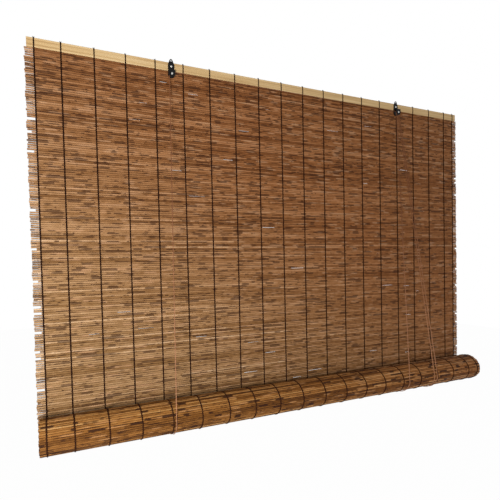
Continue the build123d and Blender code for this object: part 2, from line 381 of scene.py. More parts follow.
# Lighter, greyer stops for the lower left: partly weathering, partly painted light.
mat_faded_and_lit = [(0.0, srgb(90, 56, 22)), (0.35, srgb(126, 92, 54)), (0.55, srgb(150, 115, 77)),
             (0.75, srgb(168, 133, 95)), (1.0, srgb(206, 173, 137))]
# The roll's reeds are the mat's own reeds; their darker stops are painted shade on the roll.
roll_shaded_brown = [(0.0, srgb(58, 27, 5)), (0.35, srgb(106, 60, 23)), (0.55, srgb(140, 86, 44)),
              (0.75, srgb(164, 110, 66)), (1.0, srgb(206, 158, 114))]
roll_gold_and_lit = [(0.0, srgb(60, 30, 5)), (0.35, srgb(107, 66, 22)), (0.55, srgb(141, 93, 42)),
             (0.75, srgb(166, 119, 64)), (1.0, srgb(208, 166, 114))]
reed_on_mat = reed_finish("reed_on_mat", mat_fresh, mat_faded_and_lit, srgb(46, 18, 4), srgb(176, 134, 98),
                          gap_shade_amount=0.6, stained=0.62)
reed_on_roll = reed_finish("reed_on_roll", roll_shaded_brown, roll_gold_and_lit, srgb(40, 14, 3), srgb(178, 128, 80),
                           gap_shade_amount=0.85, stained=0.9)
print("made finishes", reed_on_mat.name, "and", reed_on_roll.name)


# %% [markdown]
# The fittings have finishes of their own: planed pine with a long grain, dark waxed string, twisted
# cord with paler fibres, black enamel that is rubbed here and there, dull and bright patches on
# zinc, and moulded plastic. Numbers that don't vary sit on the shader itself.

# %% Planed pine
def pine_finish():
    finish = Finish("planed_pine")
    x, y, z = finish.place()
    rings = finish.noise(x * 2.2, y * 60.0, z * 160.0, detail=3.0)
    fibre = finish.noise(x * 9.0, y * 300.0, z * 500.0)
    level = rings * 0.93 + fibre * 0.07
    stops = [(0.3, srgb(168, 132, 84)), (0.5, srgb(200, 166, 114)), (0.7, srgb(214, 184, 136))]
    colour = finish.node("ShaderNodeValToRGB", {"stops": stops}, {0: level})
    bump = finish.node("ShaderNodeBump", None, {"Strength": 0.1, "Distance": 0.0003, "Height": fibre})
    return finish.set(Base_Color=colour, Roughness=0.5 + rings * 0.25, Normal=bump)


# %% String, enamel, zinc and plastic
def worked_finish(name, dark, pale, scale, roughness, relief, gloss=0.5, metallic=0.0):
    """Two tones over a fine noise, with so many cells to the metre along X, Y and Z."""
    finish = Finish(name)
    spot = [share * size for share, size in zip(finish.place(), scale)]
    patch = finish.noise(*spot, detail=3.0)
    smooth, rough = roughness
    colour = finish.mixed(patch.between(0.35, 0.65), dark, pale)
    bump = finish.node("ShaderNodeBump", None, {"Strength": 0.6, "Distance": relief, "Height": patch})
    finish.set(Metallic=metallic, Specular_IOR_Level=gloss)
    return finish.set(Base_Color=colour, Roughness=patch * (rough - smooth) + smooth, Normal=bump)


# %% Twisted cord
def cord_finish():
    """Two tones of fibre, both paler lower down."""
    finish = Finish("twisted_cord")
    x, y, z = finish.place()
    patch = finish.noise(x * 700.0, y * 700.0, z * 260.0, detail=3.0)
    low = (z * -1.0).between(0.4, 1.2)
    dark = finish.mixed(low, srgb(104, 62, 38), srgb(142, 96, 66))
    pale = finish.mixed(low, srgb(136, 88, 58), srgb(180, 129, 95))
    colour = finish.mixed(patch.between(0.35, 0.65), dark, pale)
    bump = finish.node("ShaderNodeBump", None, {"Strength": 0.6, "Distance": 0.0002, "Height": patch})
    finish.set(Specular_IOR_Level=0.2)
    return finish.set(Base_Color=colour, Roughness=0.75 + patch * 0.2, Normal=bump)


# %% Finishes of the fittings
pine = pine_finish()
THREAD_CELLS = (900, 900, 500)
ENAMEL_CELLS = (320, 320, 320)
ZINC_CELLS = (500, 500, 500)
PLASTIC_CELLS = (240, 240, 240)
string_thread = worked_finish("binding_string", srgb(22, 10, 6), srgb(48, 25, 14), THREAD_CELLS,
                              (0.8, 0.95), 0.0002, gloss=0.05)
roll_thread = worked_finish("roll_string", srgb(34, 17, 9), srgb(62, 34, 19), THREAD_CELLS,
                            (0.8, 0.95), 0.0002, gloss=0.05)
twisted_cord = cord_finish()
black_enamel = worked_finish("black_enamel", srgb(5, 5, 6), srgb(14, 13, 13), ENAMEL_CELLS,
                             (0.5, 0.7), 0.00008, gloss=0.14)
bright_zinc = worked_finish("bright_zinc", srgb(178, 176, 170), srgb(216, 214, 208), ZINC_CELLS,
                            (0.22, 0.48), 0.00003, metallic=1.0)
sheave_plastic = worked_finish("sheave_plastic", srgb(34, 32, 30), srgb(50, 48, 45), PLASTIC_CELLS,
                               (0.4, 0.6), 0.00005)
print("materials so far", len(bpy.data.materials))

# %% [markdown]
# One reed stalk is an eight-sided rod of unit length and width, with a slight swelling at its node
# and hollow cut ends: each end face is inset, and its middle is pushed in.
# The mat and the roll are made of stretched copies of it, so it keeps only a few dozen faces.

# %% The stalk that every reed is copied from
NODE_PLACE = 0.25
NODE_SWELL = 1.08
RIM = 0.14
HOLLOW = 0.01
clear_selection()
bpy.ops.mesh.primitive_cylinder_add(vertices=8, radius=0.5, depth=1.0, rotation=(0, math.pi / 2, 0))
stalk = settle()
stalk.name = "stalk"
pick_edges(stalk, lambda a, b: abs(a.x - b.x) > 0.5)
bpy.ops.mesh.subdivide(number_cuts=3)
pick_vertices(stalk, lambda co: abs(co.x - NODE_PLACE) < 0.01)
bpy.ops.transform.resize(value=(1.0, NODE_SWELL, NODE_SWELL), center_override=(NODE_PLACE, 0, 0))
pick_faces(stalk, lambda f: abs(f.normal.x) > 0.9)
bpy.ops.mesh.inset(thickness=RIM)
for side in (-1, 1):
    pick_faces(stalk, lambda f: side * f.normal.x > 0.9 and len(f.vertices) == 8)
    bpy.ops.mesh.extrude_region_move(TRANSFORM_OT_translate={"value": (-side * HOLLOW, 0, 0)})
settle()
for label in ("reed_tone", "reed_row", "reed_side"):
    stalk.data.attributes.new(label, "FLOAT", "POINT")
for vertex, side in zip(stalk.data.vertices, stalk.data.attributes["reed_side"].data):
    side.value = -2 * vertex.co.z
bpy.ops.object.shade_smooth_by_angle(angle=math.radians(75))
print("the stalk has", len(stalk.data.polygons), "faces")


# %% A reed is a stretched copy of the stalk
def reed(x0, x1, y, z, width, depth, tone, row, turn=0.0, face=0.0):
    """A copy of the stalk between two ends. face turns its flat side, for the reeds of the roll."""
    place = Matrix.Translation(((x0 + x1) / 2, y, z)) @ Matrix.Rotation(face, 4, "X")
    size = Matrix.Diagonal((x1 - x0, depth, width, 1.0)) @ Matrix.Rotation(turn, 4, "X")
    twin = copied(stalk, place @ size)
    for label, value in (("reed_tone", tone), ("reed_row", row)):
        twin.data.attributes[label].data.foreach_set("value", [value] * len(twin.data.vertices))
    return twin


# %% [markdown]
# In the mat, reeds of different length and tone are laid end to end in each course. They touch
# one another between the strings, but beyond the last string their tips stand free and ragged.
# A few courses stop short of the edge, and here and there a thin reed leaves a slit to see through.

# %% Slits and short ends
SLIT_COUNT = 30
NOTCHES_PER_EDGE = 12
THIN_WIDTH = 6.2 * MM
THIN_DROP = 1.0 * MM
TIP_REACH = 9 * MM
TIP_SHORT = 5 * MM
TIP_LEAN = 0.012
LEFT_NOTCH = 1.6
RIGHT_NOTCH = 0.5
LEFT_TIPS = (5.4 * MM, 7.2 * MM)
RIGHT_TIPS = (6.0 * MM, 7.3 * MM)
TIP_DEPTH = REED_DEPTH * 0.9
TIP_PALER = 0.25
STALK_LENGTHS = (0.35, 1.0)
GAP_IN_MM = (0.1, 0.9)
REED_TURN = 0.15


def mat_openings():
    """Slits as course: (start, end), and short ends as course: depth for the left and right edge."""
    pick = random.Random(11)
    slits = {}
    for row in pick.sample(range(3, REED_COUNT - 6), SLIT_COUNT):
        bay = pick.randrange(1, len(STRING_X) - 2)
        room = STRING_X[bay + 1] - STRING_X[bay] - 4 * STRING_WIDTH
        length = min(pick.uniform(24.0, 70.0) * MM, room)
        start = STRING_X[bay] + 2 * STRING_WIDTH + pick.uniform(0, (room - length) / MM) * MM
        slits[row] = (start, start + length)
    ends = []
    for _ in range(2):
        rows = pick.sample(range(2, REED_COUNT - 8, 3), NOTCHES_PER_EDGE)
        ends.append({row: pick.uniform(4.0, 13.0) * MM for row in rows})
    return slits, ends[0], ends[1]


# %% Courses and their free tips
def split(chance, x0, x1, shortest, longest):
    """Cut a course into stalks laid end to end."""
    cuts = [x0]
    while x1 - cuts[-1] > longest:
        cuts.append(cuts[-1] + chance.uniform(shortest, longest))
    return cuts + [x1]


def stalk_tone(chance, spread=0.11):
    return min(1.0, max(0.0, chance.gauss(0.5, spread)))


def tip(chance, fixed, free, z, course, widths):
    """The free end of a course, leaning a little up or down from the last string."""
    x0, x1 = sorted((fixed, free))
    width = chance.uniform(*widths)
    piece = reed(x0, x1, MAT_Y, z, width, TIP_DEPTH, stalk_tone(chance) + TIP_PALER, course)
    lean = Matrix.Rotation(chance.gauss(0, TIP_LEAN), 4, "Y")
    held = Matrix.Translation((fixed, MAT_Y, z))
    piece.data.transform(held @ lean @ held.inverted())
    if free > fixed:
        middle = Matrix.Translation(((x0 + x1) / 2, MAT_Y, z))
        piece.data.transform(middle @ Matrix.Rotation(math.pi, 4, "Z") @ middle.inverted())
    return piece


# %% Hanging mat
slits, short_left, short_right = mat_openings()
print("slits", len(slits), "short ends", len(short_left) + len(short_right))
chance = random.Random(5)
mat_reeds = []
for course in range(REED_COUNT):
    z = MAT_TOP - REED_PITCH * (course + 0.5)
    x0 = MAT_LEFT - chance.uniform(TIP_SHORT, TIP_REACH)
    x1 = MAT_RIGHT + chance.uniform(TIP_SHORT, TIP_REACH)
    if course in short_left:
        x0 = MAT_LEFT + LEFT_NOTCH * short_left[course]
    if course in short_right:
        x1 = MAT_RIGHT - RIGHT_NOTCH * short_right[course]
    cuts = split(chance, STRING_X[0], STRING_X[-1], *STALK_LENGTHS)
    if course in slits:
        cuts = sorted(cuts + list(slits[course]))
    for start, end in zip(cuts, cuts[1:]):
        thin = course in slits and start == slits[course][0]
        width = THIN_WIDTH if thin else REED_WIDTH - chance.uniform(0, 0.5) * MM
        drop = THIN_DROP if thin else chance.uniform(-0.2, 0.2) * MM
        depth = REED_DEPTH * chance.uniform(0.88, 1.06)
        y = MAT_Y + chance.uniform(-0.3, 0.3) * MM
        stop = end - chance.uniform(*GAP_IN_MM) * MM
        tone = stalk_tone(chance)
        turn = chance.uniform(-REED_TURN, REED_TURN)
        mat_reeds.append(reed(start, stop, y, z - drop, width, depth, tone, course, turn))
    mat_reeds.append(tip(chance, STRING_X[0], x0, z, course, LEFT_TIPS))
    mat_reeds.append(tip(chance, STRING_X[-1], x1, z, course, RIGHT_TIPS))
hanging_mat = joined(mat_reeds, "hanging_mat")
hand_over(hanging_mat, "headrail", "reed", reed_on_mat, "reed_mat")
mat_keep = 1 - LIFT / (MAT_TOP - MAT_LOW)
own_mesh(hanging_mat)

# %% [markdown]
# The roll winds from the back, down and forwards. Its line is a chain of quarter arcs, each with
# a slightly smaller radius, as in the solid. Only the outer turn needs reeds in several lengths:
# the inner turns show nothing but their ends.

# %% Winding of the roll
def spiral():
    """Centre and outer radius of each quarter turn."""
    y, z, radius = ROLL_Y, ROLL_Z, ROLL_RADIUS
    for k in range(ROLL_QUARTERS):
        yield y, z, radius
        turn = (k + 1) * math.pi / 2
        y += ROLL_STEP * math.cos(turn)
        z -= ROLL_STEP * math.sin(turn)
        radius -= ROLL_STEP


def roll_courses():
    """Quarter number, and the y, z and angle of each reed along the winding."""
    for k, (y, z, radius) in enumerate(spiral()):
        middle = radius - REED_DEPTH / 2
        count = round(radius * math.pi / 2 / REED_PITCH)
        for i in range(count):
            turn = (k + (i + 0.5) / count) * math.pi / 2
            yield k, y + middle * math.cos(turn), z - middle * math.sin(turn), turn


# %% Rolled-up mat
ROLL_ENDS_IN_MM = (-2.0, 3.0)
ROLL_SPREAD = 0.22
chance = random.Random(8)
roll_reeds = []
for course, (quarter, y, z, turn) in enumerate(roll_courses()):
    x0 = MAT_LEFT + chance.uniform(*ROLL_ENDS_IN_MM) * MM
    x1 = MAT_RIGHT - chance.uniform(*ROLL_ENDS_IN_MM) * MM
    cuts = split(chance, x0, x1, *STALK_LENGTHS) if quarter < OUTER_QUARTERS else [x0, x1]
    for start, end in zip(cuts, cuts[1:]):
        width = REED_WIDTH - chance.uniform(0, 0.7) * MM
        depth = REED_DEPTH * chance.uniform(0.9, 1.04)
        stop = end - chance.uniform(*GAP_IN_MM) * MM
        tone = stalk_tone(chance, ROLL_SPREAD)
        own_turn = chance.uniform(-REED_TURN, REED_TURN)
        roll_reeds.append(reed(start, stop, y, z, width, depth, tone, course, own_turn, face=-turn))
rolled_mat = joined(roll_reeds, "rolled_mat")
hand_over(rolled_mat, "roll", "reed", reed_on_roll, "reed_roll")
bpy.data.objects.remove(stalk)

# %% [markdown]
# The strings bind the reeds one by one: a thread slants over each reed and dips in before the next,
# where it crosses the thread behind. One stitch is a short five-sided tube with its ends pushed in
# and drawn apart. An Array modifier repeats it down the mat, and the finished column is copied to
# each string's place. The right bracket covers the top of one string, so those stitches are deleted.

# %% Stitch over one reed
STRING_RADIUS = 1.5 * MM
STITCH_DIP = 1.9 * MM
STITCH_SLANT = 0.5 * MM
STITCH_SPREAD = 1.45


def new_stitch():
    clear_selection()
    bpy.ops.mesh.primitive_cylinder_add(vertices=5, radius=STRING_RADIUS, depth=REED_PITCH,
                                        end_fill_type="NOTHING")
    stitch = settle()
    pick_edges(stitch, lambda a, b: abs(a.z - b.z) > REED_PITCH / 2)
    bpy.ops.mesh.subdivide(number_cuts=1)
    pick_vertices(stitch, lambda co: abs(co.z) > REED_PITCH / 4)
    bpy.ops.transform.translate(value=(0, STITCH_DIP, 0))
    pick_vertices(stitch, lambda co: True)
    wide = STITCH_SPREAD * STRING_WIDTH / 2 / STRING_RADIUS
    bpy.ops.transform.resize(value=(wide, 1, 1), center_override=(0, 0, 0))
    for end in (-1, 1):
        pick_vertices(stitch, lambda co: end * co.z > REED_PITCH / 4)
        bpy.ops.transform.translate(value=(end * STITCH_SLANT, 0, 0))
    settle()
    bpy.ops.object.shade_smooth()
    return stitch


# %% Strings down the mat
crest = REED_DEPTH / 2 + STRING_RADIUS * 0.6
plate_low, plate_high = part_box("right_bracket")
column = new_stitch()
bpy.ops.transform.translate(value=(0, MAT_Y - crest, MAT_TOP - REED_PITCH / 2))
settle()
rows = column.modifiers.new("rows", "ARRAY")
rows.count = REED_COUNT
rows.use_relative_offset = False
rows.use_constant_offset = True
rows.constant_offset_displace = (0, 0, -REED_PITCH)
bpy.ops.object.modifier_apply(modifier="rows")
front_columns = [copied(column, Matrix.Translation((x, 0, 0))) for x in STRING_X]
behind = Matrix.Translation((0, 2 * MAT_Y, 0)) @ Matrix.Rotation(math.pi, 4, "Z")
back_columns = [copied(column, Matrix.Translation((x, 0, 0)) @ behind) for x in STRING_X]
bpy.data.objects.remove(column)
covered = next(i for i, x in enumerate(STRING_X)
               if plate_low.x - STRING_WIDTH < x < plate_high.x + STRING_WIDTH)
clear_selection()
bpy.context.view_layer.objects.active = front_columns[covered]
pick_vertices(front_columns[covered], lambda co: co.z > plate_low.z)
bpy.ops.mesh.delete(type="VERT")
settle()
for side, columns, nodes in (("front", front_columns, ["mat_strings"]), ("back", back_columns, [])):
    strings = joined(columns, f"mat_strings_{side}")
    hand_over(strings, "headrail", "string", string_thread, *nodes)
    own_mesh(strings)

# %% [markdown]
# On the roll the same stitch lies over each reed of the outer turn. The stitches of one string are
# joined into a ring, and the ring is copied to each string's place.

# %% Strings round the roll
stitch = new_stitch()
ring_stitches = []
for quarter, y, z, turn in roll_courses():
    if quarter < OUTER_QUARTERS:
        outward = Matrix.Rotation(math.pi - turn, 4, "X") @ Matrix.Translation((0, -crest, 0))
        ring_stitches.append(copied(stitch, Matrix.Translation((0, y, z)) @ outward))
bpy.data.objects.remove(stitch)
ring = joined(ring_stitches, "string_ring")
rings = [copied(ring, Matrix.Translation((x, 0, 0))) for x in STRING_X]
bpy.data.objects.remove(ring)
roll_strings = joined(rings, "roll_strings")
hand_over(roll_strings, "roll", "string", roll_thread)

# %% [markdown]
# At the top the strings go round the batten and are knotted on its upper edge. A rectangle with
# bevelled corners becomes a curve, gets a round section, and turns back into a mesh. The knot is
# an overhand knot, which is a trefoil, and its formula gives the points of a smooth thread.

# %% Loop round the batten
LOOP_RADIUS = 0.85 * MM
LOOP_CORNER = 1.2 * MM
THREAD_PLACES = (-1.2 * MM, 0.2 * MM, 1.4 * MM)
BEHIND_PLATE = 0.2 * MM


def batten_loop():
    depth = BATTEN_HIGH.y - BATTEN_LOW.y + LOOP_RADIUS
    height = BATTEN_HIGH.z - BATTEN_LOW.z + LOOP_RADIUS
    centre = (BATTEN_LOW + BATTEN_HIGH) / 2
    clear_selection()
    bpy.ops.mesh.primitive_plane_add(size=1.0, rotation=(0, math.pi / 2, 0))
    loop = settle()
    pick_vertices(loop, lambda co: True)
    bpy.ops.transform.resize(value=(1.0, depth, height))
    bpy.ops.mesh.bevel(affect="VERTICES", offset=LOOP_CORNER, segments=2)
    bpy.ops.transform.translate(value=(0, centre.y, centre.z))
    bpy.ops.mesh.delete(type="ONLY_FACE")
    settle()
    bpy.ops.object.convert(target="CURVE")
    loop.data.bevel_depth = LOOP_RADIUS
    loop.data.bevel_resolution = 1
    bpy.ops.object.convert(target="MESH")
    bpy.ops.object.shade_smooth()
    return bpy.context.object


# %% Knot in a thread
def trefoil(centre, wide, deep, high, count=24):
    """Points of an overhand knot."""
    spots = []
    for i in range(count + 1):
        t = 2 * math.pi * i / count
        x = wide * (math.sin(t) + 2 * math.sin(2 * t))
        z = high * (math.cos(t) - 2 * math.cos(2 * t))
        spots.append((centre[0] + x, centre[1] - deep * math.sin(3 * t), centre[2] + z))
    return spots


def smooth_line(name, points):
    """A curve on one smooth spline, selected."""
    curve = bpy.data.curves.new(name, "CURVE")
    curve.dimensions = "3D"
    line = curve.splines.new("NURBS")
    line.points.add(len(points) - 1)
    for point, spot in zip(line.points, points):
        point.co = (*spot, 1)
    line.order_u = 3
    line.use_endpoint_u = True
    thread = bpy.data.objects.new(name, curve)
    bpy.context.scene.collection.objects.link(thread)
    clear_selection()
    thread.select_set(True)
    bpy.context.view_layer.objects.active = thread
    return thread, line


def thread_knot():
    """A small knot on the batten's upper edge, with its two ends standing up."""
    top = Vector((0, 2.4 * MM, BATTEN_HIGH.z + 1.0 * MM))
    first = (2.6 * MM, 2.0 * MM, BATTEN_HIGH.z + 4.4 * MM)
    last = (-3.0 * MM, 1.2 * MM, BATTEN_HIGH.z + 3.6 * MM)
    spots = [first] + trefoil(top, 0.75 * MM, 0.9 * MM, 0.7 * MM, count=12) + [last]
    thread, line = smooth_line("thread_knot", spots)
    line.resolution_u = 3
    thread.data.bevel_depth = LOOP_RADIUS * 0.9
    thread.data.bevel_resolution = 1
    thread.data.use_fill_caps = True
    bpy.ops.object.convert(target="MESH")
    bpy.ops.object.shade_smooth()
    return bpy.context.object


# %% Strings round the batten
loop = batten_loop()
knot = thread_knot()
threads = [copied(loop, Matrix.Translation((x, 0, 0))) for x in THREAD_PLACES]
bpy.data.objects.remove(loop)
binding = joined(threads + [knot], "batten_binding")
bindings = [copied(binding, Matrix.Translation((x, 0, 0))) for x in STRING_X]
for vertex in bindings[covered].data.vertices:
    vertex.co.y = max(vertex.co.y, BEHIND_PLATE)
batten_strings = joined(bindings, "strings_on_batten")
bpy.data.objects.remove(binding)
hand_over(batten_strings, "headrail", "string", string_thread, "batten_strings")

# %% [markdown]
# The lift cords are twisted from three strands. A curve with a three-lobed section that turns as
# it goes along gives that rope, and a straight, tight stretch needs only a few points.

# %% Rope
CORD_RADIUS = 1.5 * MM
LAY_LENGTH = 16 * MM
STEPS_PER_TURN = 6


def rope_section():
    """Three strands side by side, as one closed outline."""
    outline = bpy.data.curves.new("rope_section", "CURVE")
    outline.dimensions = "2D"
    line = outline.splines.new("POLY")
    corners = 9
    line.points.add(corners - 1)
    for i, point in enumerate(line.points):
        angle = 2 * math.pi * i / corners
        reach = CORD_RADIUS * (1.0 if i % 3 else 0.72)
        point.co = (reach * math.cos(angle), reach * math.sin(angle), 0, 1)
    line.use_cyclic_u = True
    section = bpy.data.objects.new("rope_section", outline)
    bpy.context.scene.collection.objects.link(section)
    return section


section = rope_section()


def rope(name, points):
    """A twisted cord along a smooth spline, as a mesh, with the points of its centre line."""
    run = sum((Vector(b) - Vector(a)).length for a, b in zip(points, points[1:]))
    turns = run / LAY_LENGTH
    cord, line = smooth_line(name, points)
    curve = cord.data
    curve.twist_mode = "MINIMUM"
    along = 0.0
    for i, (point, spot) in enumerate(zip(line.points, points)):
        along += (Vector(spot) - Vector(points[i - 1])).length if i else 0.0
        point.tilt = 2 * math.pi * turns * along / run
    line.resolution_u = max(4, round(turns * STEPS_PER_TURN / max(1, len(points) - 2)))
    centre = bpy.data.meshes.new_from_object(cord.evaluated_get(bpy.context.evaluated_depsgraph_get()))
    path = [tuple(v.co) for v in centre.vertices]
    curve.bevel_mode = "OBJECT"
    curve.bevel_object = section
    curve.use_fill_caps = True
    bpy.ops.object.convert(target="MESH")
    bpy.ops.object.shade_smooth()
    return bpy.context.object, path


# %% [markdown]
# Each lift cord comes down in front from its sheave, goes under the roll and up behind the mat to
# a screw eye. The slings under the roll travel with it. A short end below each housing stays
# with the sheave, and a short end above the roll with its sling, so that the slanting cord of a
# raised blind passes in front of both.

# %% Routes of the cords
AXLE_Z = -50 * MM
HOOK_X = 553 * MM
WRAP = 8 * MM
BACK_SHEAVE_Y = -5.4 * MM
FRONT_SHEAVE_Y = -11.6 * MM
SLING_RADIUS = 62.5 * MM
LEFT_LIFT_X = -605 * MM
RIGHT_LIFT_X = 482 * MM
PULL_A_X = 638 * MM
PULL_B_X = 656 * MM
EYE_LOW = Vector((0, 15 * MM, -27.2 * MM))
TAIL_RISE = 60 * MM
BELOW_HOUSING = 25 * MM
ABOVE_ROLL = 36 * MM
CLEAR_OF_SHEAVE = 18 * MM
FRONT_CORDS = {
    "left_lift_cord_front": ((-HOOK_X - WRAP, BACK_SHEAVE_Y, AXLE_Z), LEFT_LIFT_X),
    "right_lift_cord_front": ((HOOK_X - WRAP, FRONT_SHEAVE_Y, AXLE_Z), RIGHT_LIFT_X),
    "pull_cord_a_front": ((HOOK_X + WRAP, BACK_SHEAVE_Y, AXLE_Z), PULL_A_X),
    "pull_cord_b_front": ((HOOK_X + WRAP, FRONT_SHEAVE_Y, AXLE_Z), PULL_B_X),
}


# %% Places along the routes
def leaving_angle(y):
    """Where a strand from a sheave touches the sling's circle."""
    away = math.hypot(y - ROLL_Y, AXLE_Z - ROLL_Z)
    return math.atan2(AXLE_Z - ROLL_Z, y - ROLL_Y) + math.acos(SLING_RADIUS / away)


def on_sling(x, angle, radius=SLING_RADIUS):
    return (x, ROLL_Y + radius * math.cos(angle), ROLL_Z + radius * math.sin(angle))


def strand(node):
    """Four places down a front cord: its sheave, below the housing, above the roll, and on the roll."""
    top, low_x = FRONT_CORDS[node]
    sheave = Vector(top)
    low = Vector(on_sling(low_x, leaving_angle(sheave.y)))
    drop = sheave.z - low.z
    return sheave, sheave.lerp(low, BELOW_HOUSING / drop), low.lerp(sheave, ABOVE_ROLL / drop), low


def sling_points(node):
    """A straight end, then corners round the circle, so that the smooth spline touches it."""
    sheave, _, above, low = strand(node)
    start, end, spans = leaving_angle(sheave.y), 2 * math.pi, 6
    step = (end - start) / spans
    reach = SLING_RADIUS / math.cos(step / 2)
    corners = [on_sling(low.x, start + step * (i + 0.5), reach) for i in range(spans)]
    return [tuple(above), tuple(low)] + corners + [on_sling(low.x, end)]


# %% Straight cords
def tight_cord(node, top, low):
    """A straight run, with points near its ends."""
    spots = [tuple(top.lerp(low, share)) for share in (0.0, 0.02, 0.5, 0.98, 1.0)]
    cord, path = rope(f"{node}_rope", spots)
    hand_over(cord, "headrail", "cord", twisted_cord, node)
    keep = 1 - LIFT / (top.z - low.z)
    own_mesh(cord)
    tuple(top)
    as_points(path)


# %% Cords in front and behind
for node in FRONT_CORDS:
    _, below, above, _ = strand(node)
    tight_cord(node, below, above)
for node, x in (("left_lift_cord_back", LEFT_LIFT_X), ("right_lift_cord_back", RIGHT_LIFT_X)):
    tight_cord(node, EYE_LOW + Vector((x, 0, 0)), Vector(on_sling(x, 0)))

# %% Slings and tails
slings = [rope(f"{node}_sling", sling_points(node))[0]
          for node in ("left_lift_cord_front", "right_lift_cord_front")]
hand_over(joined(slings, "lift_slings_rope"), "cord_slings", "cord", twisted_cord, "lift_cord_slings")
tails = []
for node in ("pull_cord_a_front", "pull_cord_b_front"):
    x = strand(node)[3].x
    rise = [(x, ROLL_Y + SLING_RADIUS, ROLL_Z + TAIL_RISE * share) for share in (0.3, 0.65, 1.05)]
    tails.append(rope(f"{node}_tail", sling_points(node) + rise)[0])
hand_over(joined(tails, "pull_tails_rope"), "cord_slings", "cord", twisted_cord, "pull_cord_tails")


# %% [markdown]
# In its housing a cord bends over a sheave. A spline that is led by corners touches the sheave's groove
# between them, so a few corners make a smooth bend.

# %% Stretches over the sheaves
def over_corner(x, y, first, last):
    """Corners of a wrap over a sheave, between two angles seen from the front."""
    spans = 3
    step = (last - first) / spans
    reach = WRAP / math.cos(step / 2)
    places = [(WRAP, first)] + [(reach, first + step * (i + 0.5)) for i in range(spans)] + [(WRAP, last)]
    return [(x + away * math.cos(turn), y, AXLE_Z + away * math.sin(turn)) for away, turn in places]


level_run = AXLE_Z + WRAP
left_wrap = over_corner(-HOOK_X, BACK_SHEAVE_Y, math.pi, math.pi / 2)
right_wrap = over_corner(HOOK_X, BACK_SHEAVE_Y, math.pi / 2, 0)
inner = HOOK_X - CLEAR_OF_SHEAVE
across = [(x, BACK_SHEAVE_Y, level_run) for x in (-inner, 0.0, inner)]
below_housing = {node: tuple(strand(node)[1]) for node in FRONT_CORDS}
wrapped = left_wrap + across + right_wrap
crossing_spots = [below_housing["left_lift_cord_front"]] + wrapped + [below_housing["pull_cord_a_front"]]
crossing = rope("crossing_rope", crossing_spots)[0]
hand_over(crossing, "headrail", "cord", twisted_cord, "crossing_cord")
over_spots = over_corner(HOOK_X, FRONT_SHEAVE_Y, math.pi, 0)
over_spots = [below_housing["right_lift_cord_front"]] + over_spots + [below_housing["pull_cord_b_front"]]
over = rope("over_sheave_rope", over_spots)[0]
hand_over(over, "headrail", "cord", twisted_cord, "right_cord_over_sheave")

# %% [markdown]
# Both pull cords end in one knot behind the mat, a larger overhand knot in rope.

# %% Knot of the pull cords
knot_low, knot_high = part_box("pull_cord_knot")
knot_centre = (knot_low + knot_high) / 2
pull_knot = rope("pull_knot_rope", trefoil(knot_centre, 3.6 * MM, 1.6 * MM, 1.5 * MM))[0]
hand_over(pull_knot, "cord_slings", "cord", twisted_cord, "pull_cord_knot")

# %% [markdown]
# At the top the lift cord goes through its screw eye and is knotted under it. The knot stays with
# the batten.

# %% Hitches at the screw eyes
HITCH_LOOP_Z = -26.4 * MM
HITCH_KNOT_Z = -31.0 * MM
HITCH_WIDE, HITCH_HIGH = 3.0 * MM, 3.4 * MM
HITCH_STEPS = 12
hitches = []
for i, x in enumerate((LEFT_LIFT_X, RIGHT_LIFT_X)):
    loop_spots = []
    for k in range(HITCH_STEPS + 1):
        t = 2 * math.pi * k / HITCH_STEPS
        z = HITCH_LOOP_Z - HITCH_HIGH * math.cos(t)
        loop_spots.append((x + HITCH_WIDE * math.sin(t), EYE_LOW.y, z))
    hitches.append(rope(f"hitch_loop_{i}", loop_spots)[0])
    knot_spots = trefoil((x, EYE_LOW.y, HITCH_KNOT_Z), 1.3 * MM, 1.4 * MM, 1.3 * MM)
    hitches.append(rope(f"hitch_knot_{i}", knot_spots)[0])
hand_over(joined(hitches, "eye_hitches"), "headrail", "cord", twisted_cord)
bpy.data.objects.remove(section)

# %% [markdown]
# Screws, rivet heads and screw eyes are bright zinc. A screw head is a cylinder with a bevelled
# rim and a cross pressed into it, and a rivet head is domed by a wide bevel. A screw eye is a wire
# spun round a circle that stops short of closing. All of them start from one plain rod.

# %% Rod to start from
SCREW_Z = -21 * MM
HEAD_RADIUS = 3.8 * MM
SCREW_HEAD, RIVET_HEAD = 2.2 * MM, 1.6 * MM
SCREW_HEAD_Y, RECESS_Y = -3.1 * MM, -4.3 * MM
RECESS_WIDTH, RECESS_DEPTH = 0.9 * MM, 2 * MM
LEFT_HOUSING, RIGHT_HOUSING = 11 * MM, 17 * MM


def rod(radius, depth, place, corners=24):
    """A cylinder that lies along Y, to be shaped further."""
    clear_selection()
    bpy.ops.mesh.primitive_cylinder_add(vertices=corners, radius=radius, depth=depth,
                                        rotation=(math.pi / 2, 0, 0), location=place)
    return settle()


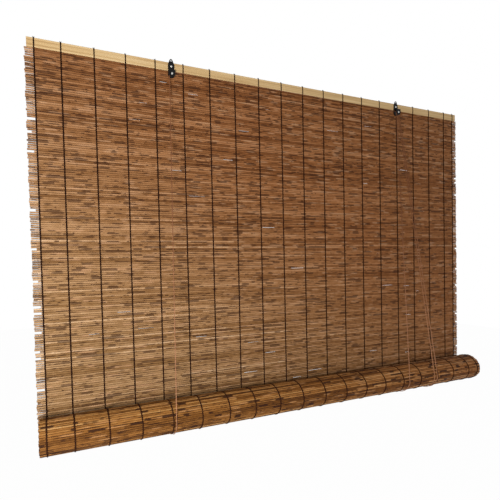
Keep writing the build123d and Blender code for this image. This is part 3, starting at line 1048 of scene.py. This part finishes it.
# %% Screw
def screw():
    head = rod(HEAD_RADIUS, SCREW_HEAD, (0, SCREW_HEAD_Y, SCREW_Z))
    pick_faces(head, lambda f: f.normal.y < -0.9)
    bpy.ops.mesh.bevel(offset=1.3 * MM, segments=3)
    settle()
    slots = []
    for wide, high in ((HEAD_RADIUS, RECESS_WIDTH), (RECESS_WIDTH, HEAD_RADIUS)):
        clear_selection()
        bpy.ops.mesh.primitive_cube_add(size=1.0, location=(0, RECESS_Y, SCREW_Z))
        bpy.ops.transform.resize(value=(wide, RECESS_DEPTH, high))
        slots.append(settle())
    for slot_piece in slots:
        clear_selection()
        bpy.context.view_layer.objects.active = head
        head.select_set(True)
        cut = head.modifiers.new("recess", "BOOLEAN")
        cut.object = slot_piece
        cut.operation = "DIFFERENCE"
        bpy.ops.object.modifier_apply(modifier="recess")
        bpy.data.objects.remove(slot_piece)
    shank = rod(radius=1.75 * MM, depth=9 * MM, place=(0, 2.5 * MM, SCREW_Z), corners=16)
    pick_faces(shank, lambda f: f.normal.y > 0.9)
    bpy.ops.transform.resize(value=(0.4, 1.0, 0.4))
    settle()
    return joined([head, shank], "screw")


# %% Rivet
def rivet(depth):
    head = rod(HEAD_RADIUS, RIVET_HEAD, (0, -depth - RIVET_HEAD / 2, AXLE_Z))
    pick_faces(head, lambda f: f.normal.y < -0.9)
    bpy.ops.mesh.bevel(offset=1.4 * MM, segments=4)
    settle()
    shank = rod(radius=2 * MM, depth=depth, place=(0, -depth / 2, AXLE_Z))
    pick_faces(shank, lambda f: f.normal.y > 0.9)
    bpy.ops.mesh.extrude_region_move(TRANSFORM_OT_translate={"value": (0, 0.4 * MM, 0)})
    bpy.ops.transform.resize(value=(1.7, 1.0, 1.7))
    bpy.ops.mesh.extrude_region_move(TRANSFORM_OT_translate={"value": (0, 0.4 * MM, 0)})
    settle()
    return joined([head, shank], "rivet")


# %% Screw eye
def screw_eye(x):
    """A wire bent into an open ring, on a pointed shank."""
    ring_y, ring_radius, wire = 15 * MM, 5 * MM, 1.2 * MM
    clear_selection()
    bpy.ops.mesh.primitive_circle_add(vertices=10, radius=wire, fill_type="NGON",
                                      location=(x, ring_y - ring_radius, SCREW_Z))
    ring = settle()
    pick_faces(ring, lambda f: True)
    bpy.ops.mesh.spin(steps=26, angle=math.radians(335), center=(x, ring_y, SCREW_Z), axis=(1, 0, 0))
    bpy.ops.mesh.select_all(action="SELECT")
    bpy.ops.mesh.remove_doubles(threshold=0.00001)
    bpy.ops.mesh.normals_make_consistent(inside=False)
    settle()
    shank = rod(radius=1.0 * MM, depth=7 * MM, place=(x, 6.5 * MM, SCREW_Z), corners=12)
    pick_faces(shank, lambda f: f.normal.y < -0.9)
    bpy.ops.transform.resize(value=(0.3, 1.0, 0.3))
    settle()
    return joined([ring, shank], "screw_eye")


# %% Fasteners in place
one_screw = screw()
screw_pair = [copied(one_screw, Matrix.Translation((x, 0, 0))) for x in (-HOOK_X, HOOK_X)]
screws = joined(screw_pair, "plate_screws")
bpy.data.objects.remove(one_screw)
left_rivet, right_rivet = rivet(LEFT_HOUSING), rivet(RIGHT_HOUSING)
left_rivet.data.transform(Matrix.Translation((-HOOK_X, 0, 0)))
right_rivet.data.transform(Matrix.Translation((HOOK_X, 0, 0)))
rivets = joined([left_rivet, right_rivet], "axle_rivets")
eyes = joined([screw_eye(LEFT_LIFT_X), screw_eye(RIGHT_LIFT_X)], "batten_eyes")
for piece, node in ((screws, "bracket_screws"), (rivets, "sheave_axles"), (eyes, "screw_eyes")):
    clear_selection()
    piece.select_set(True)
    bpy.context.view_layer.objects.active = piece
    bpy.ops.object.shade_smooth_by_angle(angle=math.radians(35))
    hand_over(piece, "headrail", "zinc", bright_zinc, node)

# %% [markdown]
# The battens, brackets and sheaves keep their solids. They take a finish, and a fine bevel that
# catches the light on their edges. The solids' faces come unjoined, so a Weld modifier joins them first.

# %% Finishes on the solids
for node, material in (("top_batten", pine), ("bottom_batten", pine), ("left_bracket", black_enamel),
                       ("right_bracket", black_enamel), ("left_sheave", sheave_plastic),
                       ("right_back_sheave", sheave_plastic), ("right_front_sheave", sheave_plastic)):
    solid = frame["nodes"][node]
    solid.data.materials.clear()
    solid.data.materials.append(material)
    weld = solid.modifiers.new("joined_faces", "WELD")
    weld.merge_threshold = 0.01 * MM
    edge = solid.modifiers.new("fine_edge", "BEVEL")
    edge.width = 0.25 * MM
    edge.segments = 2
    edge.limit_method = "ANGLE"
    edge.angle_limit = math.radians(50)
    print("finished", node, "with", material.name)

# %% [markdown]
# The blind hangs in front of white, over a pale floor. The room gives weak light from all sides, and
# room and floor turn white where the camera looks at them, as paper does behind a product.

# %% Stage
ROOM_LIGHT = 0.25
FLOOR_SIZE = 14.0
FLOOR_PLACE = (0, 1.0, -2.0)
FLOOR_WHITENESS = 0.98
world = bpy.data.worlds.new("white_room")
bpy.context.scene.world = world
world.use_nodes = True
sky = Tree(world.node_tree)
background = next(n for n in world.node_tree.nodes if n.type == "BACKGROUND")
background.inputs["Color"].default_value = (1, 1, 1, 1)
sky.feed(background.inputs["Strength"], sky.seen() * (1 - ROOM_LIGHT) + ROOM_LIGHT)

clear_selection()
bpy.ops.mesh.primitive_plane_add(size=FLOOR_SIZE, location=FLOOR_PLACE)
floor = settle()
floor.name = "floor"
paving = Finish("pale_floor")
paving.set(Base_Color=(0.95, 0.95, 0.95, 1), Roughness=0.9)
glow = paving.node("ShaderNodeEmission", None, {"Color": (1, 1, 1, 1), "Strength": 1.0})
plain = Shade(paving, paving.shader.outputs[0])
whitened = paving.seen() * FLOOR_WHITENESS
surface = paving.node("ShaderNodeMixShader", None, {0: whitened, 1: plain, 2: glow})
output = next(n for n in paving.tree.nodes if n.type == "OUTPUT_MATERIAL")
paving.feed(output.inputs["Surface"], surface)
floor.data.materials.append(paving.material)
print("floor at", FLOOR_PLACE[2], "m")


# %% [markdown]
# The lamps are discs, like soft boxes: a large one gives soft shadows. The key lamp stands close on the
# left, so the light falls off along the mat, and a weak fill on the right keeps that end readable.

# %% Light
def lamp(name, place, target, size, power):
    light = bpy.data.lights.new(name, "AREA")
    light.shape = "DISK"
    light.size = size
    light.energy = power
    holder = bpy.data.objects.new(name, light)
    holder.location = place
    holder.rotation_euler = (Vector(target) - Vector(place)).to_track_quat("-Z", "Y").to_euler()
    bpy.context.scene.collection.objects.link(holder)


lamp("key", place=(-1.7, -1.55, -0.95), target=(-0.6, 0, -0.9), size=0.7, power=44)
lamp("fill", place=(0.6, -2.6, -0.7), target=(0.2, 0, -0.8), size=1.6, power=11)
print("lamps", [light.name for light in bpy.data.lights])

# %% [markdown]
# The camera stands left of the middle and looks to the right. Its place, turn, focal length and shift
# were fitted to the strings, the batten and the roll in the photograph.

# %% Camera
SENSOR = 36.0
PHOTO_PIXELS = 500
FOCAL_PIXELS = 362.33
SHIFT_PIXELS = (61.65, 31.24)
CAMERA_PLACE = (-0.9773, -1.2721, -0.7702)
camera_data = bpy.data.cameras.new("camera")
camera_data.sensor_fit = "HORIZONTAL"
camera_data.sensor_width = SENSOR
camera_data.lens = SENSOR * FOCAL_PIXELS / PHOTO_PIXELS
camera_data.shift_x = SHIFT_PIXELS[0] / PHOTO_PIXELS
camera_data.shift_y = SHIFT_PIXELS[1] / PHOTO_PIXELS
camera = bpy.data.objects.new("camera", camera_data)
bpy.context.scene.collection.objects.link(camera)
bpy.context.scene.camera = camera
YAW, PITCH, ROLL = math.radians(20.283), math.radians(-1.4485), math.radians(-1.4763)
ahead = Vector((math.sin(YAW) * math.cos(PITCH), math.cos(YAW) * math.cos(PITCH), math.sin(PITCH)))
level_right = Vector((math.cos(YAW), -math.sin(YAW), 0))
level_up = level_right.cross(ahead)
right = level_right * math.cos(ROLL) + level_up * math.sin(ROLL)
up = level_up * math.cos(ROLL) - level_right * math.sin(ROLL)
turned = Matrix((right, up, -ahead)).transposed().to_4x4()
camera.matrix_world = Matrix.Translation(CAMERA_PLACE) @ turned

bpy.context.scene.view_settings.view_transform = "Standard"
print("camera lens", round(camera_data.lens, 2), "mm")
